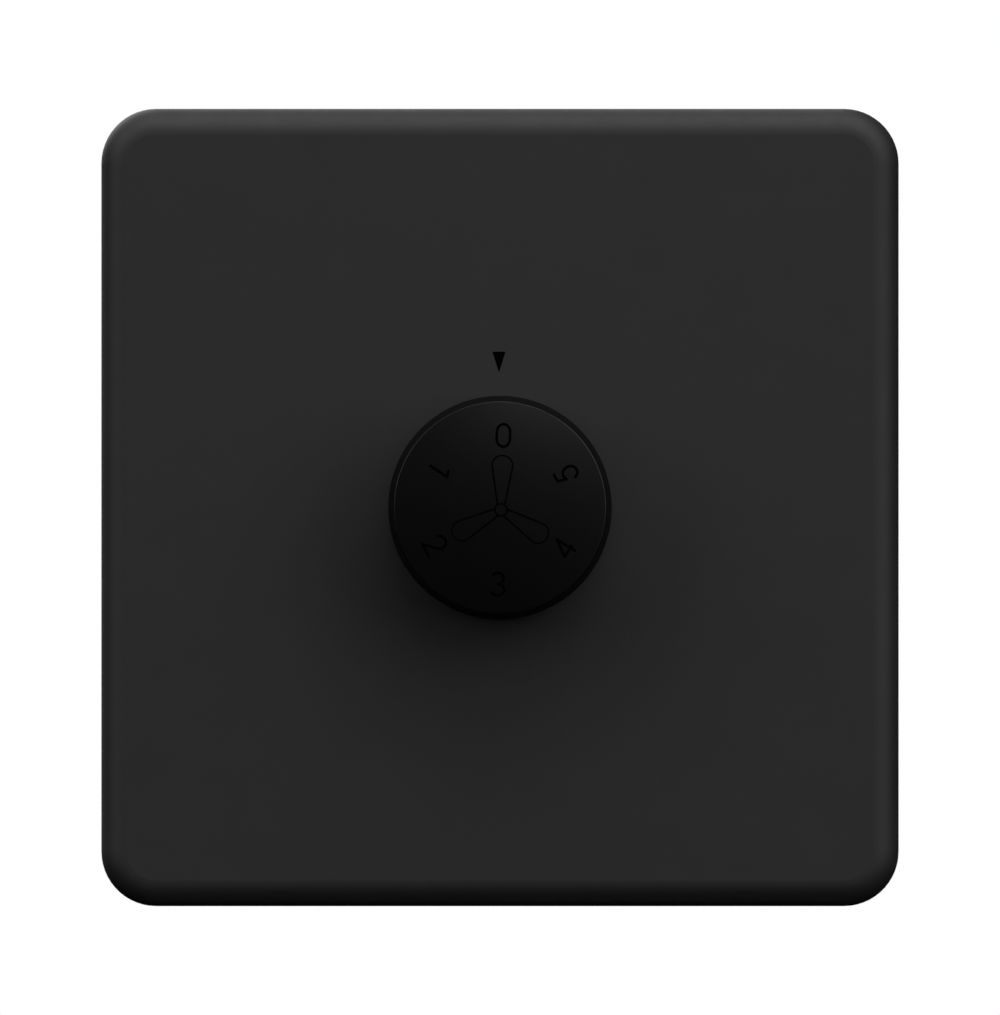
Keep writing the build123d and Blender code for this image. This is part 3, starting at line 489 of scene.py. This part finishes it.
def feed(tree, socket, value):
    """Links a socket to another node's output, or sets it to a plain value."""
    if isinstance(value, bpy.types.NodeSocket):
        tree.links.new(value, socket)
    else:
        socket.default_value = value


def add_node(tree, kind, **inputs):
    """A shader node with its inputs fed; an underscore stands for a space in a socket's name."""
    made = tree.nodes.new(kind)
    for name, value in inputs.items():
        feed(tree, made.inputs[name.replace("_", " ")], value)
    return made


def blank_material(name):
    """A new material, its node tree, its main shader and the piece's own coordinates."""
    material = bpy.data.materials.new(name)
    material.use_nodes = True
    tree = material.node_tree
    shader = tree.nodes["Principled BSDF"]
    place = tree.nodes.new("ShaderNodeTexCoord").outputs["Object"]
    return material, tree, shader, place


def shade_of(colour, factor):
    return tuple(min(1.0, channel * factor) for channel in colour) + (1.0,)


def noise(tree, place, size, detail=3.0):
    """Noise whose patches are about a given size across."""
    made = add_node(tree, "ShaderNodeTexNoise", Vector=place, Scale=1 / size, Detail=detail)
    return made.outputs["Fac"]


def between(tree, factor, low, high):
    """A value that swings from low to high with the middle of a noise."""
    spread = add_node(
        tree, "ShaderNodeMapRange", Value=factor,
        From_Min=NOISE_MIDDLE[0], From_Max=NOISE_MIDDLE[1], To_Min=low, To_Max=high)
    return spread.outputs["Result"]


def mix_colour(tree, factor, first, second):
    mixed = tree.nodes.new("ShaderNodeMix")
    mixed.data_type = "RGBA"
    inputs = {socket.identifier: socket for socket in mixed.inputs}
    feed(tree, inputs["Factor_Float"], factor)
    feed(tree, inputs["A_Color"], first)
    feed(tree, inputs["B_Color"], second)
    return next(socket for socket in mixed.outputs if socket.identifier == "Result_Color")


def clouded(tree, factor, colour, low, high):
    """A colour that swings between two shades of itself with a noise."""
    return mix_colour(tree, between(tree, factor, 0, 1), shade_of(colour, low), shade_of(colour, high))


def drawn_out(tree, place, stretch):
    """Coordinates that run faster along some axes, for scratches and fibres along the others."""
    return add_node(tree, "ShaderNodeMapping", Vector=place, Scale=stretch).outputs["Vector"]


def axis_value(tree, place, axis):
    return add_node(tree, "ShaderNodeSeparateXYZ", Vector=place).outputs[axis]


def calculate(tree, operation, first, second=0.0):
    made = tree.nodes.new("ShaderNodeMath")
    made.operation = operation
    feed(tree, made.inputs[0], first)
    feed(tree, made.inputs[1], second)
    return made.outputs["Value"]


def set_surface(tree, shader, tint, gloss, height, relief):
    """Gives a shader its colour, its roughness and a fine relief."""
    tree.links.new(tint, shader.inputs["Base Color"])
    tree.links.new(gloss, shader.inputs["Roughness"])
    bump = add_node(tree, "ShaderNodeBump", Height=height, Distance=relief)
    tree.links.new(bump.outputs["Normal"], shader.inputs["Normal"])


def moulded_plastic(name, colour, roughness, grain, relief, mottle=0.12, patchy=0.03, specular=0.5):
    """Moulded plastic: a slow mottle in the colour, patchy gloss and the mould's fine grain."""
    material, tree, shader, place = blank_material(name)
    shader.inputs["Specular IOR Level"].default_value = specular
    tint = clouded(tree, noise(tree, place, PLASTIC_PATCH), colour, 1 - mottle, 1 + mottle)
    patches = noise(tree, place, PLASTIC_GLOSS_PATCH)
    gloss = between(tree, patches, roughness - patchy, roughness + patchy)
    set_surface(tree, shader, tint, gloss, noise(tree, place, grain, detail=2.0), relief)
    return material


def worked_metal(name, colour, roughness, stretch=(1, 1, 1)):
    """Plated or rolled metal: clouded colour and fine drawn scratches."""
    material, tree, shader, place = blank_material(name)
    shader.inputs["Metallic"].default_value = 1.0
    tint = clouded(tree, noise(tree, place, METAL_PATCH), colour, *METAL_SHADES)
    scratches = noise(tree, drawn_out(tree, place, stretch), METAL_SCRATCH, detail=4.0)
    gloss = between(tree, scratches, roughness - METAL_SMOOTHER, roughness + METAL_ROUGHER)
    set_surface(tree, shader, tint, gloss, scratches, METAL_RELIEF)
    return material


def laminate(name, colour, fibre):
    """Pressed board: fine fibres and a slow mottle in the resin's gloss."""
    material, tree, shader, place = blank_material(name)
    fibres = noise(tree, drawn_out(tree, place, LAMINATE_STRETCH), fibre, detail=4.0)
    tint = clouded(tree, fibres, colour, *LAMINATE_SHADES)
    gloss = between(tree, noise(tree, place, LAMINATE_PATCH), *LAMINATE_GLOSS)
    set_surface(tree, shader, tint, gloss, fibres, LAMINATE_RELIEF)
    return material


def capacitor_material(name, colour, board_y):
    """A moulded box with tinned leads from the board backwards."""
    material, tree, shader, place = blank_material(name)
    is_lead = calculate(tree, "GREATER_THAN", axis_value(tree, place, "Y"), board_y)
    tree.links.new(is_lead, shader.inputs["Metallic"])
    body = clouded(tree, noise(tree, place, CAPACITOR_PATCH), colour, *CAPACITOR_SHADES)
    tint = mix_colour(tree, is_lead, body, TIN)
    grain = noise(tree, place, CAPACITOR_GRAIN)
    set_surface(tree, shader, tint, between(tree, grain, *CAPACITOR_GLOSS), grain, CAPACITOR_RELIEF)
    return material


def band_ramp(tree, along, colour, bands):
    """The colour along a resistor's body, with its bands."""
    ramp = tree.nodes.new("ShaderNodeValToRGB")
    ramp.color_ramp.interpolation = "CONSTANT"
    stops = ramp.color_ramp.elements
    stops[0].color = shade_of(colour, 1)
    stops[1].position = BODY_END
    stops[1].color = shade_of(colour, 1)
    for start, band in bands:
        stops.new(start).color = shade_of(band, 1)
        stops.new(start + BAND_WIDTH).color = shade_of(colour, 1)
    tree.links.new(along, ramp.inputs["Fac"])
    return ramp.outputs["Color"]


def resistor_material(name, colour, middle_x, length, bands):
    """A lacquered axial body with colour bands, and tinned leads beyond its ends."""
    material, tree, shader, place = blank_material(name)
    across = calculate(tree, "ABSOLUTE", axis_value(tree, place, "X"))
    offset = calculate(tree, "SUBTRACT", across, middle_x)
    along = calculate(tree, "ADD", calculate(tree, "DIVIDE", offset, length), 0.5)
    from_middle = calculate(tree, "ABSOLUTE", calculate(tree, "SUBTRACT", along, 0.5))
    is_lead = calculate(tree, "GREATER_THAN", from_middle, 0.5)
    tree.links.new(is_lead, shader.inputs["Metallic"])
    tint = mix_colour(tree, is_lead, band_ramp(tree, along, colour, bands), TIN)
    lacquer = noise(tree, place, RESISTOR_GRAIN)
    set_surface(tree, shader, tint, between(tree, lacquer, *RESISTOR_GLOSS), lacquer, RESISTOR_RELIEF)
    return material


def make_finishes():
    """A material for each slot of the record, and for the engraving's painted shade, the knob's side and
    the pointer.
    """
    board_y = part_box("circuit_board")[0].y
    finishes = {"capacitor_yellow": capacitor_material("capacitor_yellow", CAPACITOR_COLOUR, board_y)}
    kinds = (
        (moulded_plastic, PLASTICS),
        (worked_metal, METALS),
        (laminate, LAMINATES),
        (resistor_material, RESISTORS),
    )
    for make, looks in kinds:
        for name, look in looks.items():
            finishes[name] = make(name, **look)
    return finishes


def dress_nodes(finishes):
    """Gives every CAD node the finish of its slot."""
    for subpart in frame["record"]["subparts"]:
        mesh = nodes[subpart["node"]].data
        for i in range(len(mesh.materials)):
            mesh.materials[i] = finishes[subpart["material_slot"]]


# Studio

def seen_rays(tree):
    """Two values that are one for the rays that see the backdrop: direct, and by gloss or glass."""
    rays = tree.nodes.new("ShaderNodeLightPath").outputs
    mirrored = calculate(tree, "MAXIMUM", rays["Is Glossy Ray"], rays["Is Transmission Ray"])
    return rays["Is Camera Ray"], mirrored


def mix_shaders(tree, factor, first, second):
    mixed = tree.nodes.new("ShaderNodeMixShader")
    for socket, value in zip(mixed.inputs, (factor, first.outputs[0], second.outputs[0])):
        tree.links.new(value, socket)
    return mixed


def floor_material():
    """Pale matt floor that fades into the white backdrop and hides nothing from a camera below it."""
    material, tree, shader, place = blank_material("pale_floor")
    tint = clouded(tree, noise(tree, place, FLOOR_PATCH), WHITE, *FLOOR_SHADES)
    tree.links.new(tint, shader.inputs["Base Color"])
    shader.inputs["Roughness"].default_value = FLOOR_ROUGHNESS
    spot = tree.nodes.new("ShaderNodeVectorMath")
    spot.operation = "LENGTH"
    tree.links.new(place, spot.inputs[0])
    from_centre = spot.outputs["Value"]
    fade = add_node(
        tree, "ShaderNodeMapRange", Value=from_centre, From_Max=FLOOR_SIDE / 2, To_Min=FLOOR_GLOW)
    direct, mirrored = seen_rays(tree)
    seen = calculate(tree, "MAXIMUM", direct, mirrored)
    glow = calculate(tree, "MULTIPLY", fade.outputs["Result"], seen)
    lit = mix_shaders(tree, glow, shader, add_node(tree, "ShaderNodeEmission", Color=shade_of(WHITE, 1)))
    underside = tree.nodes.new("ShaderNodeNewGeometry").outputs["Backfacing"]
    choice = mix_shaders(tree, underside, lit, tree.nodes.new("ShaderNodeBsdfTransparent"))
    tree.links.new(choice.outputs[0], tree.nodes["Material Output"].inputs["Surface"])
    return material


def add_floor():
    shape = bmesh.new()
    bmesh.ops.create_grid(shape, x_segments=1, y_segments=1, size=FLOOR_SIDE / 2)
    floor = finish_mesh("floor", shape)
    floor.location = (0, 0, cad_box[0].z - FLOOR_DROP)
    floor.data.materials.append(floor_material())


def light_world():
    """A dim room, with the white backdrop that the camera, gloss and glass see behind the object."""
    world = bpy.data.worlds.new("studio")
    bpy.context.scene.world = world
    world.use_nodes = True
    tree = world.node_tree
    way = tree.nodes.new("ShaderNodeTexCoord").outputs["Generated"]
    behind = calculate(tree, "GREATER_THAN", axis_value(tree, way, "Y"), BACKDROP_COSINE)
    direct, mirrored = seen_rays(tree)
    seen = calculate(tree, "MAXIMUM", direct, calculate(tree, "MULTIPLY", mirrored, behind))
    light = mix_colour(tree, seen, shade_of(WHITE, ROOM_GLOW), shade_of(WHITE, 1))
    tree.links.new(light, tree.nodes["Background"].inputs["Color"])


def add_softbox(name, azimuth_deg, elevation_deg, distance, size, power, spread_deg):
    """A square area lamp that faces the object; azimuth 0 is the camera's side."""
    azimuth, elevation = radians(azimuth_deg), radians(elevation_deg)
    away = Vector((sin(azimuth) * cos(elevation), -cos(azimuth) * cos(elevation), sin(elevation)))
    data = bpy.data.lights.new(name, "AREA")
    data.size = size
    data.energy = power
    data.spread = radians(spread_deg)
    lamp = bpy.data.objects.new(name, data)
    lamp.visible_camera = False
    lamp.location = away * distance
    lamp.rotation_mode = "QUATERNION"
    lamp.rotation_quaternion = (-away).to_track_quat("-Z", "Y")
    bpy.context.scene.collection.objects.link(lamp)


def add_camera():
    """A camera that looks straight at the plate and frames it as the photograph does."""
    view_height = IMAGE_LONG_SIDE_PX / PHOTO_PX_PER_MM * MM
    data = bpy.data.cameras.new("camera")
    data.sensor_width = SENSOR_MM
    data.lens = SENSOR_MM * CAMERA_DISTANCE / view_height
    data.clip_start, data.clip_end = CAMERA_CLIP
    camera = bpy.data.objects.new("camera", data)
    camera.location = (0, -CAMERA_DISTANCE, 0)
    camera.rotation_euler = (pi / 2, 0, 0)
    bpy.context.scene.collection.objects.link(camera)
    bpy.context.scene.camera = camera


finishes = make_finishes()
dress_nodes(finishes)
make_engraved_knob(finishes["knob_black"], finishes["knob_side_black"], finishes["engraving_black"])
make_pointer(finishes["pointer_ink"])

add_floor()
light_world()
for name, setting in LAMPS.items():
    add_softbox(name, *setting)
add_camera()
bpy.context.scene.view_settings.view_transform = "Standard"
